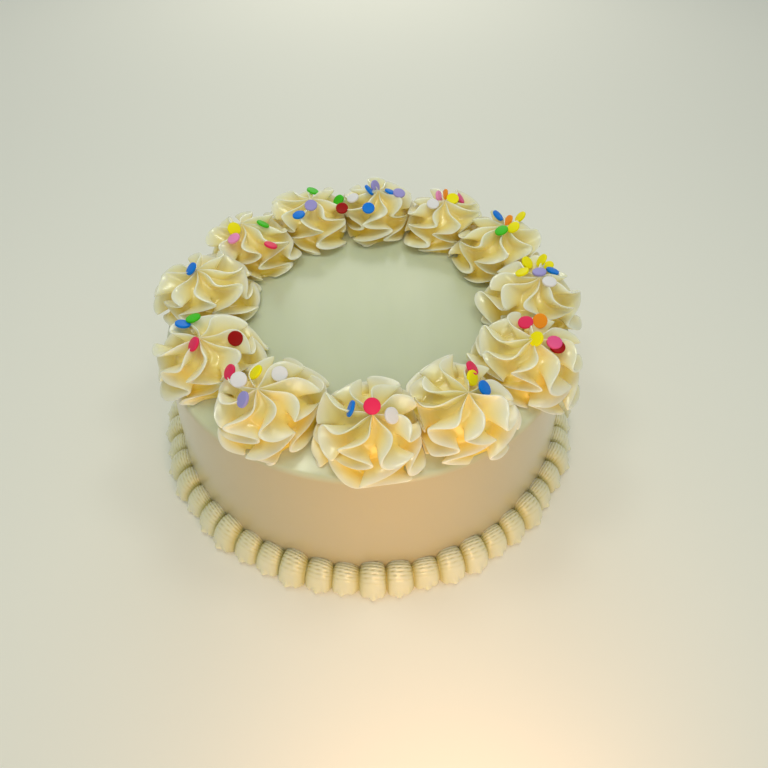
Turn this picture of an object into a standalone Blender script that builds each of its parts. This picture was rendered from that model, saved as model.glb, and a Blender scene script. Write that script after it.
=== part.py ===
"""Round birthday cake, whole and uncut: a smooth iced drum, twelve piped swirls round its rim
with flat confetti on them, and a border of small piped shells round its foot.

Metres, +Z up. The origin is the middle of the flat base and the front faces -Y.
"""
import math

import bmesh
import bpy
import numpy as np
from mathutils import Matrix, Vector
from mathutils.bvhtree import BVHTree

# The iced drum
TOP_RADIUS = 0.090
FOOT_RADIUS = 0.0962
HEIGHT = 0.070
RIM_ROUND = 0.0022
FOOT_ROUND = 0.0012
DRUM_SEGMENTS = 80

# Clear space between pieces that lie against each other
GAP = 0.0003

# The shells round the foot
SHELL_COUNT = 54
SHELL_DEPTH = 0.0098
SHELL_HEIGHT = 0.0135
SHELL_PINCH = 0.56
SHELL_NUB = 0.0010
SHELL_SECTION = ((0.86, 0.0), (1.0, 0.15), (0.98, 0.42), (0.78, 0.76), (0.36, 1.0), (0.0, 0.96))

# Where a shell's cuts stand across it, from the joint at one side to short of the next joint
SHELL_PLACES = (-1.0, -0.72, -0.28, 0.28, 0.72)

# The piped swirls: each has its bearing and distance on the rim, its spread and height, the turn
# of its first fin, and how far its tip leans outwards
FINS = 8
SWIRL_ROWS = 9
SWIRLS = (
    (-90, 0.0700, 0.0226, 0.0225, 8, 0.0038),
    (-123, 0.0695, 0.0226, 0.0225, 31, 0.0042),
    (-153, 0.0725, 0.0226, 0.0215, 12, 0.0040),
    (174, 0.0730, 0.0230, 0.0220, 40, 0.0036),
    (144, 0.0700, 0.0224, 0.0215, 22, 0.0036),
    (115, 0.0700, 0.0226, 0.0220, 3, 0.0005),
    (86, 0.0705, 0.0224, 0.0220, 35, 0.0010),
    (57, 0.0720, 0.0228, 0.0220, 17, 0.0005),
    (29, 0.0720, 0.0222, 0.0250, 28, 0.0010),
    (0, 0.0725, 0.0228, 0.0225, 6, 0.0015),
    (-30, 0.0745, 0.0232, 0.0225, 38, 0.0010),
    (-62, 0.0700, 0.0228, 0.0225, 20, 0.0040),
)

# Side view of a swirl as shares of its spread and height, from its foot to its tip:
# the outer edge of a fin, and the bottom of the groove beside it
FIN_EDGE = ((0.92, 0.0), (1.0, 0.06), (1.03, 0.15), (1.0, 0.25), (0.93, 0.34), (0.89, 0.43), (0.89, 0.52),
            (0.86, 0.62), (0.74, 0.71), (0.52, 0.77), (0.27, 0.80), (0.0, 0.84))
GROOVE = ((0.80, 0.0), (0.80, 0.05), (0.77, 0.12), (0.71, 0.20), (0.65, 0.28), (0.60, 0.36), (0.54, 0.43),
          (0.46, 0.50), (0.34, 0.56), (0.21, 0.63), (0.09, 0.72), (0.0, 0.84))
FIN_SWAY = 14

# Places of the four edges of a fin from its own middle to the next, and how far each stands out
FIN_PLACES = (0.0, 0.44, 1.0, 1.56)
FIN_RISES = (1.0, 0.5, 0.0, 0.5)

# Confetti: flat round sweets. For each swirl, where each sweet lies on it: its bearing from the
# swirl's middle and its distance in millimetres, then the lean of its face and the bearing it faces
SWEET_RADIUS = 0.0031
SWEET_THICKNESS = 0.0012
SWEET_SIDES = 8

# How far a flat sweet is pressed into the cream, and how much further one that stands on its edge
SWEET_PRESS = 0.0005
SWEET_STUCK = 0.0030
FLAT_LEAN = 35
EDGE_LEAN = 85
SWEETS = (
    ((-173, 7.0, 67, 176), (-72, 2.0, 41, -92), (-28, 8.5, 47, -31)),
    ((159, 15.5, 47, -159), (180, 10.0, 23, -93), (134, 6.5, 38, 179), (51, 6.5, 23, -93),
     (-131, 11.5, 47, -159)),
    ((142, 14.0, 22, 53), (122, 14.0, 17, 137), (-130, 6.0, 44, -162), (9, 11.0, 41, -92)),
    ((175, 5.0, 41, -165),),
    ((-162, 7.0, 47, -55), (-129, 10.0, 23, -158), (27, 7.0, 34, 35), (-49, 17.5, 26, 35)),
    ((-106, 14.0, 10, -178), (-76, 7.5, 23, -93), (84, 12.5, 21, 23), (27, 16.5, 37, -152),
     (-9, 17.0, 23, -93)),
    ((-109, 13.5, 23, -93), (163, 4.0, 49, 9), (96, 6.0, 60, -31), (1, 7.0, 26, 35),
     (-11, 11.5, 15, -48), (-161, 13.0, 20, -158)),
    ((-160, 7.0, 15, -93), (127, 5.0, 67, -22), (84, 17.0, 74, -174), (46, 12.5, 48, -2),
     (33, 4.5, 23, -93)),
    ((92, 9.0, 37, -2), (65, 15.0, 60, -180), (-100, 4.0, 25, -179), (49, 18.5, 49, 173),
     (-18, 5.5, 34, -170)),
    ((91, 14.0, 36, -32), (136, 6.5, 30, 150), (66, 13.5, 59, 174), (57, 18.5, 38, 179),
     (54, 4.5, 11, 134), (43, 15.0, 21, 38), (-30, 6.5, 4, -98)),
    ((94, 10.5, 17, -158), (65, 13.5, 41, -92), (-69, 2.0, 49, -164), (-19, 10.0, 9, -94),
     (-13, 8.5, 9, -94)),
    ((59, 11.5, 43, -1), (46, 8.0, 55, -32), (4, 9.5, 42, -14)),
)


def clear_scene():
    for item in list(bpy.data.objects):
        bpy.data.objects.remove(item, do_unlink=True)


def make_material(name, colour, roughness):
    material = bpy.data.materials.new(name)
    material.use_nodes = True
    shader = material.node_tree.nodes["Principled BSDF"]
    shader.inputs["Base Color"].default_value = (*colour, 1.0)
    shader.inputs["Roughness"].default_value = roughness
    shader.inputs["Metallic"].default_value = 0.0
    return material


def finish_object(name, bm, material):
    bmesh.ops.recalc_face_normals(bm, faces=bm.faces)
    mesh = bpy.data.meshes.new(name)
    bm.to_mesh(mesh)
    bm.free()
    mesh.materials.append(material)
    mesh.shade_smooth()
    mesh.set_sharp_from_angle(angle=math.radians(50))
    item = bpy.data.objects.new(name, mesh)
    bpy.context.scene.collection.objects.link(item)
    return item


def vert_places(bm):
    return np.array([tuple(vert.co) for vert in bm.verts])


def move_verts(bm, places):
    for vert, place in zip(bm.verts, places):
        vert.co = place


def straight_wall(height):
    """Radius of the plain sloping wall, a little wider at its foot."""
    return FOOT_RADIUS + (TOP_RADIUS - FOOT_RADIUS) * height / HEIGHT


def wall_radius(angle, height):
    """Radius of the iced wall, slightly out of round."""
    uneven = 0.0004 * np.sin(2 * angle + 0.7) + 0.00025 * np.sin(5 * angle + 2.0)
    return straight_wall(height) + uneven


def spin_profile(points, steps, closed):
    """Turn a side profile of (radius, height) points once round the upright axis."""
    bm = bmesh.new()
    verts = [bm.verts.new((r, 0.0, z)) for r, z in points]
    edges = [bm.edges.new(pair) for pair in zip(verts, verts[1:])]
    if closed:
        edges.append(bm.edges.new((verts[-1], verts[0])))
    bmesh.ops.spin(bm, geom=verts + edges, axis=(0, 0, 1), cent=(0, 0, 0), steps=steps, angle=2 * math.pi,
                   use_merge=True)
    bmesh.ops.remove_doubles(bm, verts=bm.verts, dist=1e-6)
    return bm


def smooth_curve(points, shares):
    """A smooth curve through evenly spaced points, read at shares from 0 to 1 of its length."""
    points = np.array(points)
    padded = np.vstack([2 * points[0] - points[1], points, 2 * points[-1] - points[-2]])
    along = np.asarray(shares) * (len(points) - 1)
    first = np.clip(along.astype(int), 0, len(points) - 2)
    t = (along - first)[:, None]
    a, b, c, d = (padded[first + step] for step in range(4))
    bend = (2 * a - 5 * b + 4 * c - d) * t ** 2 + (3 * b - a - 3 * c + d) * t ** 3
    return 0.5 * (2 * b + (c - a) * t + bend)


def make_drum(material):
    rim_base = HEIGHT - RIM_ROUND
    profile = [(0.0, 0.0), (FOOT_RADIUS - FOOT_ROUND, 0.0), (straight_wall(FOOT_ROUND), FOOT_ROUND)]
    profile.append((straight_wall(rim_base / 2), rim_base / 2))
    for step in range(5):
        turn = math.radians(90 * step / 4)
        height = rim_base + RIM_ROUND * math.sin(turn)
        profile.append((straight_wall(height) - RIM_ROUND * (1 - math.cos(turn)), height))
    profile.append((0.0, HEIGHT))
    bm = spin_profile(profile, DRUM_SEGMENTS, False)
    points = vert_places(bm)
    radius = np.hypot(points[:, 0], points[:, 1])
    angle = np.arctan2(points[:, 1], points[:, 0])
    grown = (wall_radius(angle, points[:, 2]) - straight_wall(points[:, 2])) / np.maximum(radius, 0.01)
    points[:, :2] *= 1 + grown[:, None]
    move_verts(bm, points)
    return finish_object("cake_body", bm, material)


def make_border(material):
    """One ring of shells side by side, each full in the middle, pinched where it meets the next."""
    base = FOOT_RADIUS + GAP
    outline = [(base, 0.0)] + [(base + out * SHELL_DEPTH, up * SHELL_HEIGHT) for out, up in SHELL_SECTION]
    steps = SHELL_COUNT * len(SHELL_PLACES)
    bm = spin_profile(outline, steps, True)
    ring = vert_places(bm)
    step = np.round(np.arctan2(ring[:, 1], ring[:, 0]) / (2 * math.pi / steps)).astype(int) % steps
    shell, place = np.divmod(step, len(SHELL_PLACES))
    across = np.array(SHELL_PLACES)[place]
    out = (np.hypot(ring[:, 0], ring[:, 1]) - base) / SHELL_DEPTH
    up = ring[:, 2] / SHELL_HEIGHT
    upness = np.arctan2(up, out) / (math.pi / 2)
    size = 1.0 + 0.05 * np.sin(1.9 * shell + 0.4) + 0.04 * np.sin(4.3 * shell)
    round_off = np.sqrt(1 - np.abs(across) ** 2.6)
    pinch = SHELL_PINCH + 0.14 * (1 - upness)
    fullness = (pinch + (1 - pinch) * round_off) * np.where(round_off > 0, size, 1)
    nub = (np.abs(upness - 0.1) < 0.05) & (out > 0.5) & (np.abs(across) < 0.3)
    pitch = 2 * math.pi / SHELL_COUNT
    angle = (shell + 0.5 + 0.5 * across + 0.06 * np.sin(2.7 * shell) * (1 - across ** 2)) * pitch
    height = up * fullness * SHELL_HEIGHT
    radius = wall_radius(angle, height) + GAP + out * fullness * SHELL_DEPTH + SHELL_NUB * nub
    move_verts(bm, np.stack([radius * np.cos(angle), radius * np.sin(angle), height], 1))
    return finish_object("shell_border", bm, material)


def swirl_centre(index):
    bearing, ring = SWIRLS[index % len(SWIRLS)][:2]
    turn = math.radians(bearing)
    return np.array((ring * math.cos(turn), ring * math.sin(turn), 0.0))


def press_against(points, index):
    """Flatten the side of a swirl softly where it meets each neighbour, so they nearly touch."""
    centre = swirl_centre(index)
    for other in (index - 1, index + 1):
        way = swirl_centre(other) - centre
        length = np.linalg.norm(way)
        way /= length
        limit = length / 2 - GAP / 2
        reach = points @ way
        start = 0.86 * limit
        room = limit - start
        pressed = start + room * (1 - np.exp(np.minimum(start - reach, 0) / room))
        points = points + np.where(reach > start, pressed - reach, 0)[:, None] * way
    return points


def warp(points, size, amount, seed):
    """Push points about smoothly by waves a few millimetres long, so no two fins are alike."""
    moved = points.copy()
    for step in range(3):
        phase = seed * 2.1 + step * 1.7
        along = moved @ np.array((math.cos(phase), math.sin(phase), math.cos(2 * phase)))
        push = np.array((math.cos(phase + 2), math.sin(phase + 2.5), 0.5 * math.sin(phase)))
        moved = moved + (amount * np.sin(along / size + phase))[:, None] * push
    return moved


def over_the_edge(points, height, foot):
    """Cream that reaches past the drum's flat top droops over the edge; its foot stays on the top."""
    radius = np.hypot(points[:, 0], points[:, 1])
    flat = wall_radius(np.arctan2(points[:, 1], points[:, 0]), HEIGHT) - RIM_ROUND
    pulled = np.where(foot & (radius > flat), flat / radius, 1)
    past = np.maximum(radius * pulled - flat - 3 * GAP, 0) / RIM_ROUND
    steep = math.sqrt(0.5)
    droop = 1 - np.sqrt(1 - np.minimum(past, steep) ** 2) + 0.6 * np.maximum(past - steep, 0)
    high = np.clip((points[:, 2] - HEIGHT) / height, 0, 1)
    points[:, :2] *= pulled[:, None]
    points[:, 2] -= RIM_ROUND * droop * (1 - 0.7 * high)
    return points


def swirl_mesh(index):
    """A star-tip swirl: swaying fins round a core, full at the skirt, that meet at a low tip."""
    bearing, ring, spread, height, first, lean = SWIRLS[index]
    columns = FINS * len(FIN_PLACES)
    bm = bmesh.new()
    bmesh.ops.create_uvsphere(bm, u_segments=columns, v_segments=SWIRL_ROWS, radius=1.0)
    ball = vert_places(bm)
    row = SWIRL_ROWS - np.round(np.arccos(np.clip(ball[:, 2], -1, 1)) / math.pi * SWIRL_ROWS)
    share = np.clip((row - 1) / (SWIRL_ROWS - 1), 0, 1)
    column = np.round(np.arctan2(ball[:, 1], ball[:, 0]) / (2 * math.pi / columns)).astype(int) % columns
    fin, place = np.divmod(column, len(FIN_PLACES))
    across = np.array(FIN_PLACES)[place]
    rise = np.array(FIN_RISES)[place]
    kind = 2.3 * (np.where(across > 1, fin + 1, fin) % FINS) + 1.1 * index
    edge = smooth_curve(FIN_EDGE, share)
    root = smooth_curve(GROOVE, share)
    reach = 1 + 0.06 * np.sin(kind + 3 * share)
    ruffle = 1 + 0.04 * np.sin(24 * share + kind)
    radius = (root[:, 0] + (edge[:, 0] * reach * ruffle - root[:, 0]) * rise) * spread
    up = (root[:, 1] + (edge[:, 1] - root[:, 1]) * rise) * height
    angle = math.radians(bearing + first) + (fin + across / 2) * 2 * math.pi / FINS
    wave = (15 + 1.2 * math.cos(1.9 * index)) * np.maximum(share, 0.1) + 1.3 * index
    wave = wave + 0.3 * np.sin(kind) * rise
    sway = math.radians(FIN_SWAY) * (np.sin(wave) + 0.15 * np.sin(3 * wave))
    angle = angle + math.radians(30) * share + sway * (0.55 + 0.45 * rise) * np.clip(2.2 * (1 - share), 0, 1)
    points = np.stack([radius * np.cos(angle), radius * np.sin(angle), up], 1)
    loose = np.clip(share * 8, 0, 1)[:, None]
    points = points + (warp(points, 0.0045, 0.0006, index) - points) * loose
    outward = swirl_centre(index) / ring
    leaning = lean * np.clip((share - 0.2) / 0.8, 0, 1) ** 1.3
    points = press_against(points + leaning[:, None] * outward, index)
    points[row == 0] = (0, 0, 0)
    points[:, 2] = np.maximum(points[:, 2], 0)
    lifted = points + swirl_centre(index) + np.array((0, 0, HEIGHT + GAP))
    move_verts(bm, over_the_edge(lifted, height, row == 1))
    bmesh.ops.recalc_face_normals(bm, faces=bm.faces)
    return bm


def lay_sweet(index, place, below):
    """The position of one flat sweet: it rests on the highest thing under it, or is stuck in if steep."""
    around, distance, lean, facing = place
    turn = math.radians(around)
    way = Vector((math.cos(turn), math.sin(turn), 0.0))
    middle = Vector(swirl_centre(index)) + way * distance * 0.001
    turn = math.radians(facing)
    tilt = math.radians(lean)
    normal = Vector((math.sin(tilt) * math.cos(turn), math.sin(tilt) * math.sin(turn), math.cos(tilt)))
    stance = normal.to_track_quat("Z", "Y").to_matrix()
    rests = []
    for step in range(37):
        out = 0.9 * SWEET_RADIUS * math.ceil(step / 12) / 3
        spot = stance @ Vector((out * math.cos(step * math.pi / 6), out * math.sin(step * math.pi / 6), 0.0))
        for surface in below:
            found = surface.ray_cast(middle + spot + Vector((0, 0, 2 * HEIGHT)), Vector((0, 0, -1)))[0]
            if found:
                rests.append(found.z - spot.z)
    sink = SWEET_PRESS + SWEET_STUCK * max(0.0, (lean - FLAT_LEAN) / (EDGE_LEAN - FLAT_LEAN))
    middle.z = max(rests) + SWEET_THICKNESS / 2 - sink
    return Matrix.Translation(middle) @ stance.to_4x4()


def fuse(item, helpers):
    """Join the collection's solids to the item as one body, then take them away."""
    union = item.modifiers.new("fuse", "BOOLEAN")
    union.operation = "UNION"
    union.operand_type = "COLLECTION"
    union.collection = helpers
    union.solver = "MANIFOLD"
    graph = bpy.context.evaluated_depsgraph_get()
    joined = bpy.data.meshes.new_from_object(item.evaluated_get(graph))
    item.modifiers.clear()
    item.data = joined
    for helper in list(helpers.objects):
        bpy.data.objects.remove(helper, do_unlink=True)
    bpy.data.collections.remove(helpers)


def make_swirls(material):
    for index in range(len(SWIRLS)):
        bm = swirl_mesh(index)
        below = [BVHTree.FromBMesh(bm)]
        item = finish_object("dollop_%02d" % (index + 1), bm, material)
        helpers = bpy.data.collections.new("sweets")
        bpy.context.scene.collection.children.link(helpers)
        for number, place in enumerate(SWEETS[index]):
            disc = bmesh.new()
            bmesh.ops.create_cone(disc, cap_ends=True, segments=SWEET_SIDES, radius1=SWEET_RADIUS,
                                  radius2=SWEET_RADIUS, depth=SWEET_THICKNESS,
                                  matrix=lay_sweet(index, place, below))
            below.append(BVHTree.FromBMesh(disc))
            mesh = bpy.data.meshes.new("sweet")
            disc.to_mesh(mesh)
            disc.free()
            mesh.materials.append(material)
            helpers.objects.link(bpy.data.objects.new("sweet_%d" % number, mesh))
        fuse(item, helpers)


def main():
    clear_scene()
    icing = make_material("buttercream_icing", (0.80, 0.70, 0.46), 0.42)
    piped = make_material("piped_buttercream", (0.84, 0.76, 0.50), 0.38)
    shells = make_material("border_buttercream", (0.82, 0.68, 0.36), 0.42)
    make_drum(icing)
    make_swirls(piped)
    make_border(shells)


main()
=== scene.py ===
"""Looks of a round birthday cake: smooth icing, piped swirls with confetti, and a shell border.

Metres, +Z up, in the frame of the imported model. The front of the cake faces -Y.
"""
import math

import bmesh
import bpy
import numpy as np
from mathutils import Matrix, Vector
from mathutils.bvhtree import BVHTree


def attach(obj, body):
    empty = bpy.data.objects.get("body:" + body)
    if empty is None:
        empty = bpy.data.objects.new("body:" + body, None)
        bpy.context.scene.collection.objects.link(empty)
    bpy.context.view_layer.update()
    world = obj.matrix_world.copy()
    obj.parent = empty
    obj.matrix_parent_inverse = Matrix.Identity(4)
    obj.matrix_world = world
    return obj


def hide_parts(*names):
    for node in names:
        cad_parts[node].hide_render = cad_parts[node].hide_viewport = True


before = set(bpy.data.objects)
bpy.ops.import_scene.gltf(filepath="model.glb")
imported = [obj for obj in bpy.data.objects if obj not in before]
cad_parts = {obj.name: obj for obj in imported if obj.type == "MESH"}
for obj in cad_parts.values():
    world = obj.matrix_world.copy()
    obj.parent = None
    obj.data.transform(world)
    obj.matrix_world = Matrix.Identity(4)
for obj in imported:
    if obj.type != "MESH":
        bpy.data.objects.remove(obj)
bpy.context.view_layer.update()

# The iced drum. Its scraped top falls away softly over the slope's width before the rounded rim,
# and its wall is out of round by a wave with two crests and one with five
TOP_RADIUS = 0.090
FOOT_RADIUS = 0.0962
HEIGHT = 0.070
RIM_ROUND = 0.0022
RIM_SLOPE = 0.0130
RIM_DIP = 0.0015
FOOT_ROUND = 0.0012
WALL_WAVE = 0.0004
WALL_RIPPLE = 0.00025
DRUM_STEPS = 360
WALL_STEPS = 24
RIM_STEPS = 12
TOP_STEPS = 60

# The joint that the solids leave between two pieces, and how far pieces reach into each other here
# instead, so that no slit shows
GAP = 0.0003
SINK = 0.0003

# The shells round the foot
SHELL_COUNT = 54
SHELL_DEPTH = 0.0098
SHELL_HEIGHT = 0.0135
SHELL_PINCH = 0.56
SHELL_NUB = 0.0010
SHELL_SECTION = ((0.86, 0.0), (1.0, 0.15), (0.98, 0.42), (0.78, 0.76), (0.36, 1.0), (0.0, 0.96))
SHELL_RIBS = 9.0
SHELL_FLUTES = 3
SHELL_STEPS = 26
SHELL_ROWS = 64

# The piped swirls: each has its bearing and distance on the rim, its spread and height, the turn
# of its first fin, and how far its tip leans outwards
FINS = 8
FIN_STEPS = 28
SWIRL_ROWS = 110
SWIRLS = (
    (-90, 0.0700, 0.0226, 0.0225, 8, 0.0038),
    (-123, 0.0695, 0.0226, 0.0225, 31, 0.0042),
    (-153, 0.0725, 0.0226, 0.0215, 12, 0.0040),
    (174, 0.0730, 0.0230, 0.0220, 40, 0.0036),
    (144, 0.0700, 0.0224, 0.0215, 22, 0.0036),
    (115, 0.0700, 0.0226, 0.0220, 3, 0.0005),
    (86, 0.0705, 0.0224, 0.0220, 35, 0.0010),
    (57, 0.0720, 0.0228, 0.0220, 17, 0.0005),
    (29, 0.0720, 0.0222, 0.0250, 28, 0.0010),
    (0, 0.0725, 0.0228, 0.0225, 6, 0.0015),
    (-30, 0.0745, 0.0232, 0.0225, 38, 0.0010),
    (-62, 0.0700, 0.0228, 0.0225, 20, 0.0040),
)

# The fins: how wide each is beside its groove and how steep its sides are, how far it sways to and
# fro in degrees, over how many radians of wave, and how far it turns from foot to tip in degrees
FIN_THIN = 0.21
FIN_STEEP = 3.6
FIN_SWAY = 25
FIN_WAVES = 15
FIN_TURN = 30

# Side view of a swirl as shares of its spread and height, from its foot to its tip:
# the outer edge of a fin, and the bottom of the groove beside it
FIN_EDGE = ((0.92, 0.0), (1.0, 0.06), (1.03, 0.15), (1.0, 0.25), (0.93, 0.34), (0.89, 0.43), (0.89, 0.52),
            (0.86, 0.62), (0.74, 0.71), (0.52, 0.77), (0.27, 0.80), (0.0, 0.84))
GROOVE = ((0.80, 0.0), (0.80, 0.05), (0.77, 0.12), (0.71, 0.20), (0.65, 0.28), (0.60, 0.36), (0.54, 0.43),
          (0.46, 0.50), (0.34, 0.56), (0.21, 0.63), (0.09, 0.72), (0.0, 0.84))

# Confetti: flat round sweets. For each swirl, where each sweet lies on it: its colour, its bearing
# from the swirl's middle and distance in millimetres, the lean of its face and the bearing it faces
SWEET_RADIUS = 0.0031
SWEET_THICKNESS = 0.0012
SWEET_SIDES = 40
SWEET_EDGE = 0.0004
SWEETS = (
    (("blue", -173, 7.0, 67, 176), ("crimson", -72, 2.0, 41, -92), ("white", -28, 8.5, 47, -31)),
    (("crimson", 159, 15.5, 47, -159), ("white", 180, 10.0, 23, -93), ("yellow", 134, 6.5, 38, 179),
     ("white", 51, 6.5, 23, -93), ("lilac", -131, 11.5, 47, -159)),
    (("blue", 142, 14.0, 22, 53), ("green", 122, 14.0, 17, 137), ("crimson", -130, 6.0, 44, -162),
     ("dark_red", 9, 11.0, 41, -92)),
    (("blue", 175, 5.0, 41, -165),),
    (("yellow", -162, 7.0, 47, -55), ("pink", -129, 10.0, 23, -158), ("green", 27, 7.0, 34, 35),
     ("crimson", -49, 17.5, 26, 35)),
    (("blue", -106, 14.0, 10, -178), ("lilac", -76, 7.5, 23, -93), ("green", 84, 12.5, 21, 23),
     ("green", 27, 16.5, 37, -152), ("dark_red", -9, 17.0, 23, -93)),
    (("blue", -109, 13.5, 23, -93), ("blue", 163, 4.0, 49, 9), ("lilac", 96, 6.0, 60, -31),
     ("blue", 1, 7.0, 26, 35), ("lilac", -11, 11.5, 15, -48), ("white", -161, 13.0, 20, -158)),
    (("white", -160, 7.0, 15, -93), ("pink", 127, 5.0, 67, -22), ("orange", 84, 17.0, 74, -174),
     ("rose", 46, 12.5, 48, -2), ("yellow", 33, 4.5, 23, -93)),
    (("blue", 92, 9.0, 37, -2), ("orange", 65, 15.0, 60, -180), ("green", -100, 4.0, 25, -179),
     ("yellow", 49, 18.5, 49, 173), ("yellow", -18, 5.5, 34, -170)),
    (("yellow", 91, 14.0, 36, -32), ("yellow", 136, 6.5, 30, 150), ("yellow", 66, 13.5, 59, 174),
     ("yellow", 57, 18.5, 38, 179), ("lilac", 54, 4.5, 11, 134), ("blue", 43, 15.0, 21, 38),
     ("white", -30, 6.5, 4, -98)),
    (("crimson", 94, 10.5, 17, -158), ("orange", 65, 13.5, 41, -92), ("yellow", -69, 2.0, 49, -164),
     ("dark_red", -19, 10.0, 9, -94), ("rose", -13, 8.5, 9, -94)),
    (("crimson", 59, 11.5, 43, -1), ("yellow", 46, 8.0, 55, -32), ("blue", 4, 9.5, 42, -14)),
)

# How far a flat sweet is pressed into the cream and how much further one that stands on its edge,
# and the leans in degrees that count as flat and as on its edge
SWEET_PRESS = 0.0005
SWEET_STUCK = 0.0030
FLAT_LEAN = 35
EDGE_LEAN = 85

SWEET_COLOURS = {
    "blue": "007CF0",
    "crimson": "F02C64",
    "white": "ECE8F2",
    "yellow": "FCF005",
    "lilac": "A49CE4",
    "green": "44C824",
    "dark_red": "A40000",
    "pink": "F896D4",
    "rose": "F0589A",
    "orange": "FF9A20",
}

# The camera of the photograph: distances in top radii, angles in degrees
CAMERA_DISTANCE = 3.605 * TOP_RADIUS
CAMERA_ELEVATION = 51.2
CAMERA_AIM = Vector((0.0812, 0.0, 0.2089)) * TOP_RADIUS
CAMERA_ROLL = -0.72
CAMERA_LENS = 27.9

# Paler patches in the cream, about 36 mm across, and specks in the sugar, about 1 mm across
CLOUD_SCALE = 28.0
SPECK_SCALE = 900.0


def linear(colour):
    """An sRGB hex colour as linear RGBA."""
    values = []
    for place in (0, 2, 4):
        share = int(colour[place:place + 2], 16) / 255
        values.append(share / 12.92 if share <= 0.04045 else ((share + 0.055) / 1.055) ** 2.4)
    return (*values, 1.0)


def new_material(name):
    material = bpy.data.materials.new(name)
    material.use_nodes = True
    return material, material.node_tree.nodes["Principled BSDF"]


def add_node(material, kind, links=(), **settings):
    """Add a shader node, set its sockets and properties, and link sockets into it."""
    node = material.node_tree.nodes.new(kind)
    for key, value in settings.items():
        if hasattr(node, key):
            setattr(node, key, value)
        else:
            node.inputs[key.replace("_", " ")].default_value = value
    for socket, source in links:
        material.node_tree.links.new(source, node.inputs[socket])
    return node


def cream_material(name, plain, painted_shade, edge, roughness, grain_mm, grain_bump, stretch=1.0, film=0.6,
                   film_roughness=0.12):
    """Buttercream: light goes a little way into it, so folds glow deeper and edges look paler.

    Its butterfat leaves a thin film with a soft wet shine. The grain is what the tool left in it,
    drawn out along one way by stretch. Its second colour is painted shade and glow of deeper yellow,
    mixed in by a mesh attribute that is high deep in folds, grooves and pinches and over the drum's wall.
    """
    material, shader = new_material(name)
    place = add_node(material, "ShaderNodeTexCoord").outputs["Object"]
    drawn = add_node(material, "ShaderNodeMapping", [("Vector", place)], Scale=(1.0, 1 / stretch, 1.0))
    cloud = add_node(material, "ShaderNodeTexNoise", [("Vector", drawn.outputs["Vector"])],
                     Scale=CLOUD_SCALE, Detail=3.0)
    tint = add_node(material, "ShaderNodeMix", [("Factor", cloud.outputs["Fac"])], data_type="RGBA")
    tint.inputs["A"].default_value = linear(plain)
    tint.inputs["B"].default_value = linear(edge)
    # Painted shade and glow: the second colour, mixed in by the mesh's attribute for it
    depth = add_node(material, "ShaderNodeAttribute", attribute_name="painted_shade")
    deepen = add_node(material, "ShaderNodeMix",
                      [("Factor", depth.outputs["Fac"]), ("A", tint.outputs["Result"])], data_type="RGBA")
    deepen.inputs["B"].default_value = linear(painted_shade)
    grain = add_node(material, "ShaderNodeTexNoise", [("Vector", drawn.outputs["Vector"])],
                     Scale=1000 / grain_mm, Detail=4.0)
    bump = add_node(material, "ShaderNodeBump", [("Height", grain.outputs["Fac"])], Strength=grain_bump,
                    Distance=0.0006)
    links = material.node_tree.links
    links.new(deepen.outputs["Result"], shader.inputs["Base Color"])
    links.new(bump.outputs["Normal"], shader.inputs["Normal"])
    shader.inputs["Roughness"].default_value = roughness
    shader.inputs["Subsurface Weight"].default_value = 0.45
    shader.inputs["Subsurface Radius"].default_value = (1.0, 1.0, 0.5)
    shader.inputs["Subsurface Scale"].default_value = 0.0032
    shader.inputs["IOR"].default_value = 1.45
    shader.inputs["Coat Weight"].default_value = film
    shader.inputs["Coat Roughness"].default_value = film_roughness
    return material


def sweet_material(name, colour):
    """Pressed sugar dyed right through: an even, bright face, a little chalky, with specks of shine."""
    material, shader = new_material(name)
    place = add_node(material, "ShaderNodeTexCoord").outputs["Object"]
    speck = add_node(material, "ShaderNodeTexNoise", [("Vector", place)], Scale=SPECK_SCALE,
                     Detail=2.0)
    spread = add_node(material, "ShaderNodeMapRange", [("Value", speck.outputs["Fac"])])
    spread.inputs["To Min"].default_value = 0.3
    spread.inputs["To Max"].default_value = 0.5
    material.node_tree.links.new(spread.outputs["Result"], shader.inputs["Roughness"])
    shader.inputs["Base Color"].default_value = linear(colour)
    shader.inputs["Specular IOR Level"].default_value = 0.2
    return material


def finish_piece(name, bm, material, nodes=(), shape=None):
    """Make the piece's object; shape moves its points and says how much painted shade each one gets, most
    deep in a fold.
    """
    bmesh.ops.recalc_face_normals(bm, faces=bm.faces)
    mesh = bpy.data.meshes.new(name)
    bm.to_mesh(mesh)
    bm.free()
    if shape:
        places = np.empty(len(mesh.vertices) * 3, np.float32)
        mesh.vertices.foreach_get("co", places)
        points, painted_shade = shape(places.reshape(-1, 3).astype(float))
        mesh.vertices.foreach_set("co", points.astype(np.float32).ravel())
        mesh.attributes.new("painted_shade", "FLOAT", "POINT").data.foreach_set("value", painted_shade.astype(np.float32))
        mesh.update()
    mesh.materials.append(material)
    mesh.shade_smooth()
    piece = bpy.data.objects.new(name, mesh)
    bpy.context.scene.collection.objects.link(piece)
    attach(piece, "root")
    if nodes:
        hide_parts(*nodes)
    return piece


def straight_wall(height):
    """Radius of the plain sloping wall, a little wider at its foot."""
    return FOOT_RADIUS + (TOP_RADIUS - FOOT_RADIUS) * height / HEIGHT


def wall_radius(angle, height):
    """Radius of the iced wall, slightly out of round."""
    uneven = WALL_WAVE * np.sin(2 * angle + 0.7) + WALL_RIPPLE * np.sin(5 * angle + 2.0)
    return straight_wall(height) + uneven


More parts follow.
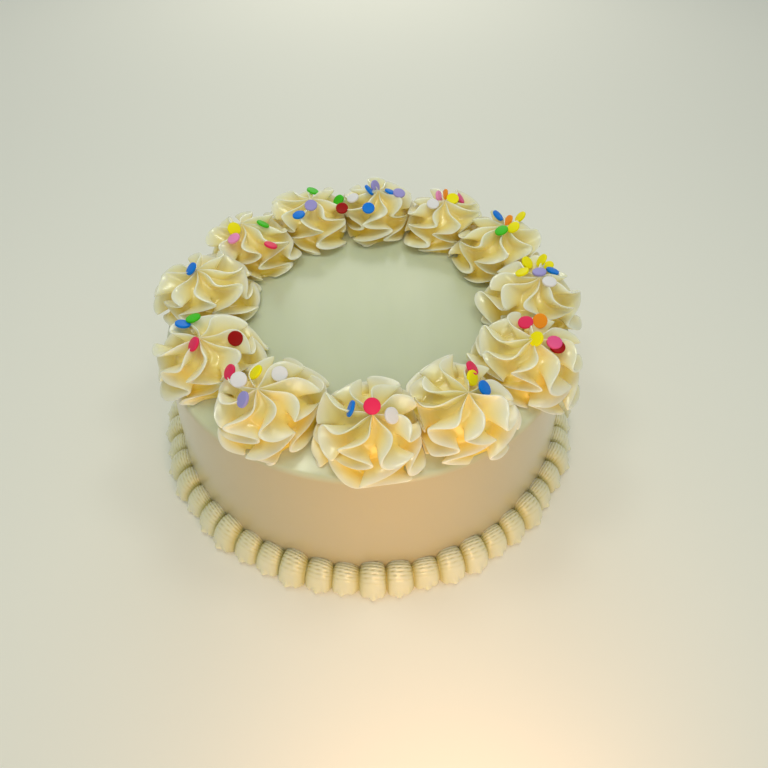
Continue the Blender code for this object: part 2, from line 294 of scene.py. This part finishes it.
def spin_profile(points, steps, closed):
    """Turn a side profile of (radius, height) points once round the upright axis."""
    bm = bmesh.new()
    verts = [bm.verts.new((r, 0.0, z)) for r, z in points]
    edges = [bm.edges.new(pair) for pair in zip(verts, verts[1:])]
    if closed:
        edges.append(bm.edges.new((verts[-1], verts[0])))
    bmesh.ops.spin(bm, geom=verts + edges, axis=(0, 0, 1), cent=(0, 0, 0), steps=steps, angle=2 * math.pi,
                   use_merge=True)
    bmesh.ops.remove_doubles(bm, verts=bm.verts, dist=1e-6)
    return bm


def rim_dip(radius):
    """How far the scraped top falls away softly towards its rim."""
    return RIM_DIP * np.clip((radius - TOP_RADIUS + RIM_ROUND + RIM_SLOPE) / RIM_SLOPE, 0, 1) ** 2


def drum_shape(points):
    """The drum out of round with its top falling to the rim; its wall gets painted shade."""
    radius = np.hypot(points[:, 0], points[:, 1])
    angle = np.arctan2(points[:, 1], points[:, 0])
    height = points[:, 2]
    grown = 1 + (wall_radius(angle, height) - straight_wall(height)) / np.maximum(radius, 0.01)
    points[:, 0] *= grown
    points[:, 1] *= grown
    # Painted shade: the whole wall below the rounded rim gets the icing's darker, warmer second colour
    wall = np.clip((HEIGHT - height) / RIM_ROUND, 0, 1)
    points[:, 2] -= rim_dip(radius) * np.clip((height - HEIGHT) / (2 * RIM_ROUND) + 1.5, 0, 1)
    return points, wall


def make_drum(material):
    rim_base = HEIGHT - RIM_ROUND
    profile = [(FOOT_RADIUS * share / 6, 0.0) for share in range(6)]
    profile.append((FOOT_RADIUS - FOOT_ROUND, 0.0))
    for step in range(WALL_STEPS + 1):
        height = FOOT_ROUND + (rim_base - FOOT_ROUND) * step / WALL_STEPS
        profile.append((straight_wall(height), height))
    for step in range(1, RIM_STEPS + 1):
        turn = math.radians(90 * step / RIM_STEPS)
        height = rim_base + RIM_ROUND * math.sin(turn)
        profile.append((straight_wall(height) - RIM_ROUND * (1 - math.cos(turn)), height))
    inner = TOP_RADIUS - RIM_ROUND
    profile += [(inner * (1 - step / TOP_STEPS), HEIGHT) for step in range(1, TOP_STEPS + 1)]
    bm = spin_profile(profile, DRUM_STEPS, False)
    finish_piece("iced_drum", bm, material, ["cake_body"], drum_shape)


def smooth_curve(points, shares):
    """A smooth curve through evenly spaced points, read at shares from 0 to 1 of its length."""
    points = np.array(points)
    padded = np.vstack([2 * points[0] - points[1], points, 2 * points[-1] - points[-2]])
    along = np.asarray(shares) * (len(points) - 1)
    first = np.clip(along.astype(int), 0, len(points) - 2)
    t = (along - first)[:, None]
    a, b, c, d = (padded[first + step] for step in range(4))
    bend = (2 * a - 5 * b + 4 * c - d) * t ** 2 + (3 * b - a - 3 * c + d) * t ** 3
    return 0.5 * (2 * b + (c - a) * t + bend)


def swirl_centre(index):
    bearing, ring = SWIRLS[index % len(SWIRLS)][:2]
    turn = math.radians(bearing)
    return np.array((ring * math.cos(turn), ring * math.sin(turn), 0.0))


def press_against(points, index):
    """Flatten the side of a swirl softly where it meets each neighbour, halfway between them."""
    centre = swirl_centre(index)
    for other in (index - 1, index + 1):
        way = swirl_centre(other) - centre
        length = np.linalg.norm(way)
        way /= length
        limit = length / 2
        reach = points @ way
        start = 0.86 * limit
        room = limit - start
        pressed = start + room * (1 - np.exp(np.minimum(start - reach, 0) / room))
        points = points + np.where(reach > start, pressed - reach, 0)[:, None] * way
    return points


def warp(points, size, amount, seed):
    """Push points about smoothly by waves a few millimetres long, so no two fins are alike."""
    moved = points.copy()
    for step in range(3):
        phase = seed * 2.1 + step * 1.7
        along = moved @ np.array((math.cos(phase), math.sin(phase), math.cos(2 * phase)))
        push = np.array((math.cos(phase + 2), math.sin(phase + 2.5), 0.5 * math.sin(phase)))
        moved = moved + (amount * np.sin(along / size + phase))[:, None] * push
    return moved


def over_the_edge(points, height, foot):
    """Cream that reaches past the drum's flat top droops over the edge; its foot stays on the top."""
    radius = np.hypot(points[:, 0], points[:, 1])
    flat = wall_radius(np.arctan2(points[:, 1], points[:, 0]), HEIGHT) - RIM_ROUND
    pulled = np.where(foot & (radius > flat), flat / radius, 1)
    past = np.maximum(radius * pulled - flat - 3 * GAP, 0) / RIM_ROUND
    steep = math.sqrt(0.5)
    droop = 1 - np.sqrt(1 - np.minimum(past, steep) ** 2) + 0.6 * np.maximum(past - steep, 0)
    high = np.clip((points[:, 2] - HEIGHT) / height, 0, 1)
    points[:, :2] *= pulled[:, None]
    points[:, 2] -= (RIM_ROUND * droop + rim_dip(radius)) * (1 - 0.7 * high)
    return points


def swirl_shape(index):
    """The shaping of a ball into a star-tip swirl: swaying fins round a core that meet at a low tip."""
    bearing, ring, spread, height, first, lean = SWIRLS[index]
    columns = FINS * FIN_STEPS

    def shape(ball):
        down = np.arccos(np.clip(ball[:, 2], -1, 1)) / math.pi
        row = SWIRL_ROWS - np.round(down * SWIRL_ROWS)
        share = np.clip((row - 1) / (SWIRL_ROWS - 1), 0, 1)
        column = np.round(np.arctan2(ball[:, 1], ball[:, 0]) / (2 * math.pi / columns)) % columns
        fin, part = np.divmod(column / FIN_STEPS + 0.5, 1.0)
        across = np.sign(part - 0.5) * np.abs(2 * part - 1) ** 1.5
        thin = FIN_THIN * (1 + 0.16 * math.sin(math.radians(bearing)) + 0.8 * np.clip(1 - 3.2 * share, 0, 1))
        rise = 1 / (1 + (np.abs(across) / thin) ** FIN_STEEP)
        floor = 1 / (1 + (1 / thin) ** FIN_STEEP)
        rise = np.clip((rise - floor) / (1 - floor), 0, 1)
        edge = smooth_curve(FIN_EDGE, share)
        root = smooth_curve(GROOVE, share)
        kind = 2.3 * (fin % FINS) + 1.1 * index
        reach = 1 + 0.06 * np.sin(kind + 3 * share)
        ruffle = 1 + 0.04 * np.sin(24 * share + kind)
        radius = (root[:, 0] + (edge[:, 0] * reach * ruffle - root[:, 0]) * rise) * spread
        up = (root[:, 1] + (edge[:, 1] - root[:, 1]) * rise) * height
        taller = 0.09 * np.sin(1.7 * kind) * rise
        up = up * (1 + taller * np.clip(3 * share, 0, 1) * np.clip(4 - 4 * share, 0, 1))
        angle = math.radians(bearing + first) + (fin + across / 2) * 2 * math.pi / FINS
        angle = angle + math.radians(FIN_TURN) * share
        wave = (FIN_WAVES + 1.2 * math.cos(1.9 * index)) * np.maximum(share, 0.1) + 1.3 * index
        wave = wave + 0.3 * np.sin(kind) * rise
        sway = math.radians(FIN_SWAY) * np.sin(wave)
        angle = angle + sway * (0.55 + 0.45 * rise) * np.clip(2.2 * (1 - share), 0, 1)
        points = np.stack([radius * np.cos(angle), radius * np.sin(angle), up], 1)
        loose = np.clip(share * 8, 0, 1)[:, None]
        points = points + (warp(points, 0.0045, 0.0006, index) - points) * loose
        outward = swirl_centre(index) / ring
        leaning = lean * np.clip((share - 0.2) / 0.8, 0, 1) ** 1.3
        points = press_against(points + leaning[:, None] * outward, index)
        points[row == 0] = (0, 0, 0)
        points[:, 2] = np.maximum(points[:, 2], 0)
        lifted = points + swirl_centre(index) + np.array((0, 0, HEIGHT - SINK))
        points = over_the_edge(lifted, height, row == 1)
        # Painted shade and glow of deep yellow, strongest down in the grooves between fins and towards the
        # foot
        return points, (1 - rise) * np.clip(1.15 - 0.6 * share, 0, 1)

    return shape


def lay_sweet(index, place, below):
    """The position of one flat sweet: it rests on the highest thing under it, or is stuck in if steep."""
    around, distance, lean, facing = place
    turn = math.radians(around)
    way = Vector((math.cos(turn), math.sin(turn), 0.0))
    middle = Vector(swirl_centre(index)) + way * distance * 0.001
    turn = math.radians(facing)
    tilt = math.radians(lean)
    normal = Vector((math.sin(tilt) * math.cos(turn), math.sin(tilt) * math.sin(turn), math.cos(tilt)))
    stance = normal.to_track_quat("Z", "Y").to_matrix()
    rests = []
    for step in range(37):
        out = 0.9 * SWEET_RADIUS * math.ceil(step / 12) / 3
        spot = stance @ Vector((out * math.cos(step * math.pi / 6), out * math.sin(step * math.pi / 6), 0.0))
        for surface in below:
            found = surface.ray_cast(middle + spot + Vector((0, 0, 2 * HEIGHT)), Vector((0, 0, -1)))[0]
            if found:
                rests.append(found.z - spot.z)
    sink = SWEET_PRESS + SWEET_STUCK * max(0.0, (lean - FLAT_LEAN) / (EDGE_LEAN - FLAT_LEAN))
    middle.z = max(rests) + SWEET_THICKNESS / 2 - sink
    return Matrix.Translation(middle) @ stance.to_4x4()


def add_sweet(bm, place):
    """A flat round sweet with rounded edges."""
    disc = bmesh.ops.create_cone(bm, cap_ends=True, segments=SWEET_SIDES, radius1=SWEET_RADIUS,
                                 radius2=SWEET_RADIUS, depth=SWEET_THICKNESS, matrix=place)
    faces = {face for vert in disc["verts"] for face in vert.link_faces if len(face.verts) > 4}
    rims = [edge for face in faces for edge in face.edges]
    bmesh.ops.bevel(bm, geom=rims, offset=SWEET_EDGE, offset_type="OFFSET", segments=3, profile=0.5,
                    affect="EDGES", clamp_overlap=True, material=-1)


def make_swirls(material):
    """The twelve swirls, and their sweets gathered into one piece for each colour."""
    kinds = {colour: bmesh.new() for colour in SWEET_COLOURS}
    for index in range(len(SWIRLS)):
        bm = bmesh.new()
        bmesh.ops.create_uvsphere(bm, u_segments=FINS * FIN_STEPS, v_segments=SWIRL_ROWS, radius=1.0)
        number = "%02d" % (index + 1)
        swirl = finish_piece("piped_swirl_" + number, bm, material, ["dollop_" + number],
                             swirl_shape(index))
        surface = BVHTree.FromPolygons([vert.co for vert in swirl.data.vertices],
                                       [face.vertices for face in swirl.data.polygons])
        below = [surface]
        for place in SWEETS[index]:
            kind = kinds[place[0]]
            add_sweet(kind, lay_sweet(index, place[1:], below))
            below.append(BVHTree.FromBMesh(kind))
    for colour, bm in kinds.items():
        finish_piece("confetti_" + colour, bm, sweet_material("sweet_" + colour, SWEET_COLOURS[colour]))


def border_shape(ring):
    """Shells side by side: full in the middle, pinched where they meet, ribbed on top, fluted in front."""
    steps = SHELL_COUNT * SHELL_STEPS
    base = FOOT_RADIUS + GAP
    radius = np.hypot(ring[:, 0], ring[:, 1])
    step = np.round(np.arctan2(ring[:, 1], ring[:, 0]) / (2 * math.pi / steps)) % steps
    shell, across = np.divmod(step / SHELL_STEPS, 1.0)
    across = across * 2 - 1
    size = 1.0 + 0.05 * np.sin(1.9 * shell + 0.4) + 0.04 * np.sin(4.3 * shell)
    round_off = np.sqrt(np.maximum(1 - np.abs(across) ** 2.6, 0))
    out = (radius - base) / SHELL_DEPTH
    up = ring[:, 2] / SHELL_HEIGHT
    upness = np.arctan2(up, out) / (math.pi / 2)
    pinch = SHELL_PINCH + 0.14 * (1 - upness)
    fullness = (pinch + (1 - pinch) * round_off) * np.where(round_off > 0, size, 1)
    skin = np.hypot(out, up) > 0.7
    ribs = SHELL_RIBS * upness ** 1.5 + 0.60 * across * upness + 0.3 * np.sin(3 * shell)
    ribs = np.abs(np.sin(math.pi * ribs))
    flutes = np.cos(math.pi * SHELL_FLUTES * (across + 0.1)) * np.exp(-((upness - 0.10) / 0.12) ** 2) * skin
    groove = (1 - ribs) ** 3 * skin * np.clip(round_off * 2, 0, 1) * np.clip((upness - 0.35) * 2.5, 0, 1)
    fullness = fullness * (1 - 0.06 * groove)
    nub = np.exp(-((across + 0.1) / 0.38) ** 2 - ((upness - 0.12) / 0.07) ** 2) * skin
    pitch = 2 * math.pi / SHELL_COUNT
    angle = (shell + 0.5 + 0.5 * across + 0.06 * np.sin(2.7 * shell) * (1 - across ** 2)) * pitch
    reach = out * fullness * SHELL_DEPTH + SHELL_NUB * (nub + 0.35 * flutes)
    height = up * fullness * SHELL_HEIGHT
    wall = wall_radius(angle, height) - SINK
    places = np.stack([(wall + reach) * np.cos(angle), (wall + reach) * np.sin(angle), height], 1)
    # Painted shade of deeper yellow where the shells are pinched together and down in the rib grooves
    return places, np.clip(1 - round_off + 0.8 * groove, 0, 1)


def make_border(material):
    base = FOOT_RADIUS + GAP
    outline = smooth_curve(SHELL_SECTION, np.linspace(0, 1, SHELL_ROWS))
    points = [(base, 0.0)] + [(base + out * SHELL_DEPTH, up * SHELL_HEIGHT) for out, up in outline]
    bm = spin_profile(points, SHELL_COUNT * SHELL_STEPS, True)
    finish_piece("piped_shells", bm, material, ["shell_border"], border_shape)


def make_floor():
    """Pale matt paper that reaches past every view."""
    material, shader = new_material("pale_floor")
    shader.inputs["Base Color"].default_value = linear("F4F2F0")
    shader.inputs["Roughness"].default_value = 0.8
    bm = bmesh.new()
    bmesh.ops.create_grid(bm, x_segments=1, y_segments=1, size=6.0)
    mesh = bpy.data.meshes.new("floor")
    bm.to_mesh(mesh)
    bm.free()
    mesh.materials.append(material)
    floor = bpy.data.objects.new("floor", mesh)
    bpy.context.scene.collection.objects.link(floor)


def add_light(name, place, size, power, colour):
    """A round soft lamp turned towards the middle of the cake."""
    light = bpy.data.lights.new(name, "AREA")
    light.shape = "DISK"
    light.size = size
    light.energy = power
    light.color = linear(colour)[:3]
    lamp = bpy.data.objects.new(name, light)
    lamp.location = place
    lamp.rotation_euler = (Vector((0, 0, HEIGHT / 2)) - Vector(place)).to_track_quat("-Z", "Y").to_euler()
    bpy.context.scene.collection.objects.link(lamp)


def make_lights():
    """Greenish light from above and warm light from low in front, with two near lamps for the shine."""
    world = bpy.data.worlds.new("studio")
    world.use_nodes = True
    world.node_tree.nodes["Background"].inputs["Color"].default_value = linear("E6EEE4")
    world.node_tree.nodes["Background"].inputs["Strength"].default_value = 0.51
    bpy.context.scene.world = world
    add_light("soft_top", (-0.08, -0.10, 1.80), 0.45, 1.8, "F2FAE2")
    add_light("warm_front", (0.03, -0.235, 0.085), 0.10, 0.125, "FFC27C")
    add_light("near_left", (-0.13, 0.02, 0.46), 0.10, 0.19, "F8FAE4")
    add_light("near_right", (0.13, 0.02, 0.46), 0.10, 0.19, "F8FAE4")
    add_light("soft_back", (0.00, 0.85, 0.45), 0.60, 1.6, "FAF6E0")
    add_light("soft_front", (0.00, -0.85, 0.62), 0.40, 1.1, "FAF8DC")


def make_camera():
    camera = bpy.data.cameras.new("camera")
    camera.lens = CAMERA_LENS
    camera.sensor_width = 36.0
    camera.clip_start = 0.01
    eye = bpy.data.objects.new("camera", camera)
    lift = math.radians(CAMERA_ELEVATION)
    place = Vector((0, -math.cos(lift), math.sin(lift))) * CAMERA_DISTANCE
    turn = (CAMERA_AIM - place).to_track_quat("-Z", "Y").to_matrix().to_4x4()
    eye.matrix_world = Matrix.Translation(place) @ turn @ Matrix.Rotation(math.radians(-CAMERA_ROLL), 4, "Z")
    bpy.context.scene.collection.objects.link(eye)
    bpy.context.scene.camera = eye


def main():
    bpy.context.scene.view_settings.view_transform = "Standard"
    # Buttercream spread and scraped smooth: an even face with faint long streaks and a broad soft shine; its
    # wall is painted darker and warmer, as shade
    icing = cream_material("buttercream_icing", "C2CAAA", "C2B492", "DEE0CC", 0.30, 9.0, 0.16, stretch=4.0,
                           film=0.8, film_roughness=0.19)
    # Buttercream piped through a star tip: satin fins with pale thin lips over folds painted a deep yellow,
    # as shade and glow
    piped = cream_material("piped_buttercream", "EAE8C4", "FFDE5C", "FCFAF0", 0.22, 2.5, 0.10)
    # Buttercream piped as small shells: the same cream, plumper and duller, with painted shade of deeper
    # yellow in its rib grooves and where the shells meet
    shells = cream_material("border_buttercream", "DEDAB8", "C8B860", "EAE8D4", 0.32, 2.0, 0.08)
    make_camera()
    make_lights()
    make_floor()
    make_drum(icing)
    make_swirls(piped)
    make_border(shells)


main()
